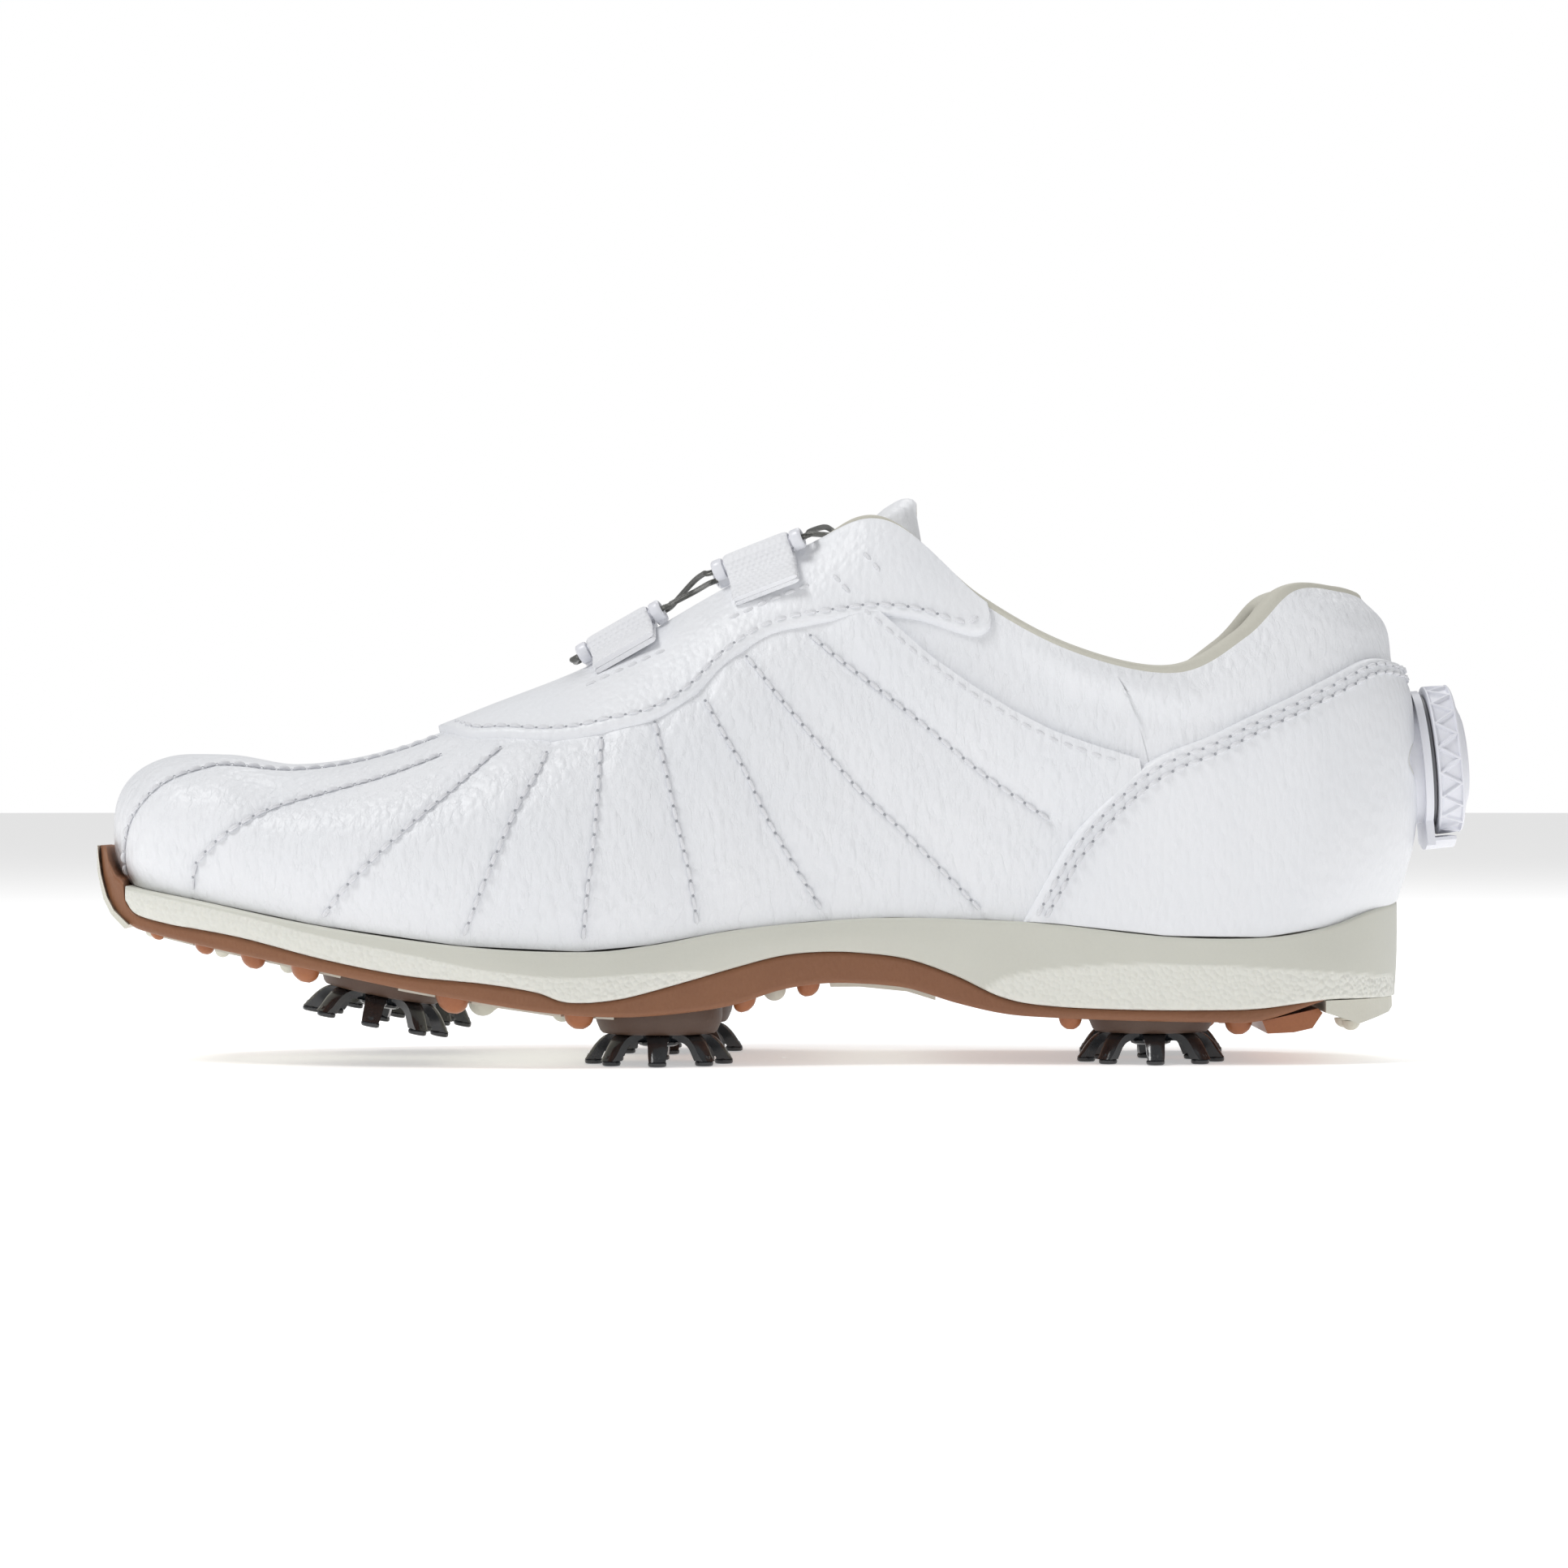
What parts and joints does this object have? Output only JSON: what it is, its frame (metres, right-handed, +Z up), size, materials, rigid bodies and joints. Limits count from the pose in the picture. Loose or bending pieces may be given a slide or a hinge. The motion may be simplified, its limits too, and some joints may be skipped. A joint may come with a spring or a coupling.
{
  "type": "golf shoe",
  "caption": "White leather golf shoe for the right foot with a heel reel and steel lace, webbing loops, padded tongue, cream midsole and brown outsole with twist-lock cleats.",
  "frame": {"origin": "under the middle of the whole shoe, on the ground that the cleats stand on", "axes": "+X from the toe to the heel, +Y from the inner side to the outer side, +Z up"},
  "size_m": [0.2859, 0.0918, 0.1169],
  "materials": {
    "leather_white": "tumbled grain",
    "lining_beige": "soft knit",
    "foam_cream": "open-cell foam",
    "stiffener_board": "matte",
    "insole_fibre": "fibre board",
    "shank_steel": "brushed",
    "midsole_cream": "pebbled and smooth",
    "outsole_brown": "fine leather grain",
    "nub_brown": "semi-gloss",
    "rubber_pale": "semi-gloss",
    "socket_black": "satin",
    "cleat_black": "glossy",
    "reel_white": "satin",
    "reel_grey": "satin",
    "spool_black": "satin",
    "screw_steel": "machined",
    "pawl_steel": "stamped",
    "lace_steel": "coated stranded cable",
    "tube_nylon": "waxy",
    "webbing_white": "woven",
    "guide_white": "semi-gloss"
  },
  "bodies": {
    "shoe": {"vamp": "leather_white", "quarter_medial": "leather_white", "quarter_lateral": "leather_white", "eyestay_medial": "leather_white", "eyestay_lateral": "leather_white", "counter_cover": "leather_white", "topline_binding": "lining_beige", "vamp_lining": "lining_beige", "quarter_lining": "lining_beige", "collar_padding": "foam_cream", "sockliner": "foam_cream", "toe_puff": "stiffener_board", "heel_stiffener": "stiffener_board", "insole_board": "insole_fibre", "shank": "shank_steel", "midsole": "midsole_cream", "heel_block": "midsole_cream", "outsole": "outsole_brown", "toe_guard_skin": "rubber_pale", "outsole_inlay": "rubber_pale", "arch_plate": "rubber_pale", "white_nubs": "rubber_pale", "brown_nubs": "nub_brown", "heel_lug": "nub_brown", "cleat_sockets": "socket_black", "reel_case": "reel_white", "reel_ring": "reel_grey", "reel_screw": "screw_steel", "lace": "lace_steel", "lace_tube_medial": "tube_nylon", "lace_tube_lateral": "tube_nylon", "loop_lower_medial": "webbing_white", "loop_lower_lateral": "webbing_white", "loop_upper_medial": "webbing_white", "loop_upper_lateral": "webbing_white", "guide_lower_medial": "guide_white", "guide_lower_lateral": "guide_white", "guide_upper_medial": "guide_white", "guide_upper_lateral": "guide_white"},
    "tongue": {"tongue_cover": "leather_white", "tongue_padding": "foam_cream", "tongue_lining": "lining_beige"},
    "spool": {"reel_spool": "spool_black"},
    "knob": {"knob_core": "reel_white", "knob_grip": "reel_white", "knob_cap": "reel_white", "knob_pawls": "pawl_steel"},
    "cleat_front_medial": {"cleat_front_medial": "cleat_black"},
    "cleat_front_lateral": {"cleat_front_lateral": "cleat_black"},
    "cleat_mid_medial": {"cleat_mid_medial": "cleat_black"},
    "cleat_mid_lateral": {"cleat_mid_lateral": "cleat_black"},
    "cleat_heel_medial": {"cleat_heel_medial": "cleat_black"},
    "cleat_heel_lateral": {"cleat_heel_lateral": "cleat_black"}
  },
  "joints": [
    {"name": "tongue_press", "type": "hinge", "parent": "shoe", "child": "tongue", "pos_m": [-0.0667, -0.003, 0.0645], "axis": [0, 1, 0], "range_deg": [0, 8]},
    {"name": "dial_turn", "type": "hinge", "parent": "shoe", "child": "spool", "pos_m": [0.1318, 0, 0.0618], "axis": [0.9952, 0, 0.0976], "continuous": true},
    {"name": "dial_pull", "type": "slide", "parent": "spool", "child": "knob", "axis": [0.9952, 0, 0.0976], "range_m": [0, 0.002]},
    {"name": "cleat_front_medial_twist", "type": "hinge", "parent": "shoe", "child": "cleat_front_medial", "pos_m": [-0.0826, -0.0225, 0.0142], "axis": [0.1942, 0, 0.981], "range_deg": [0, 60]},
    {"name": "cleat_front_lateral_twist", "type": "hinge", "parent": "shoe", "child": "cleat_front_lateral", "pos_m": [-0.0806, 0.0205, 0.0142], "axis": [0.1942, 0, 0.981], "range_deg": [0, 60]},
    {"name": "cleat_mid_medial_twist", "type": "hinge", "parent": "shoe", "child": "cleat_mid_medial", "pos_m": [-0.0256, -0.024, 0.0062], "axis": [0, 0, 1], "range_deg": [0, 60]},
    {"name": "cleat_mid_lateral_twist", "type": "hinge", "parent": "shoe", "child": "cleat_mid_lateral", "pos_m": [-0.024, 0.0245, 0.0062], "axis": [0, 0, 1], "range_deg": [0, 60]},
    {"name": "cleat_heel_medial_twist", "type": "hinge", "parent": "shoe", "child": "cleat_heel_medial", "pos_m": [0.0756, -0.0165, 0.0062], "axis": [0, 0, 1], "range_deg": [0, 60]},
    {"name": "cleat_heel_lateral_twist", "type": "hinge", "parent": "shoe", "child": "cleat_heel_lateral", "pos_m": [0.078, 0.017, 0.0062], "axis": [0, 0, 1], "range_deg": [0, 60]}
  ]
}
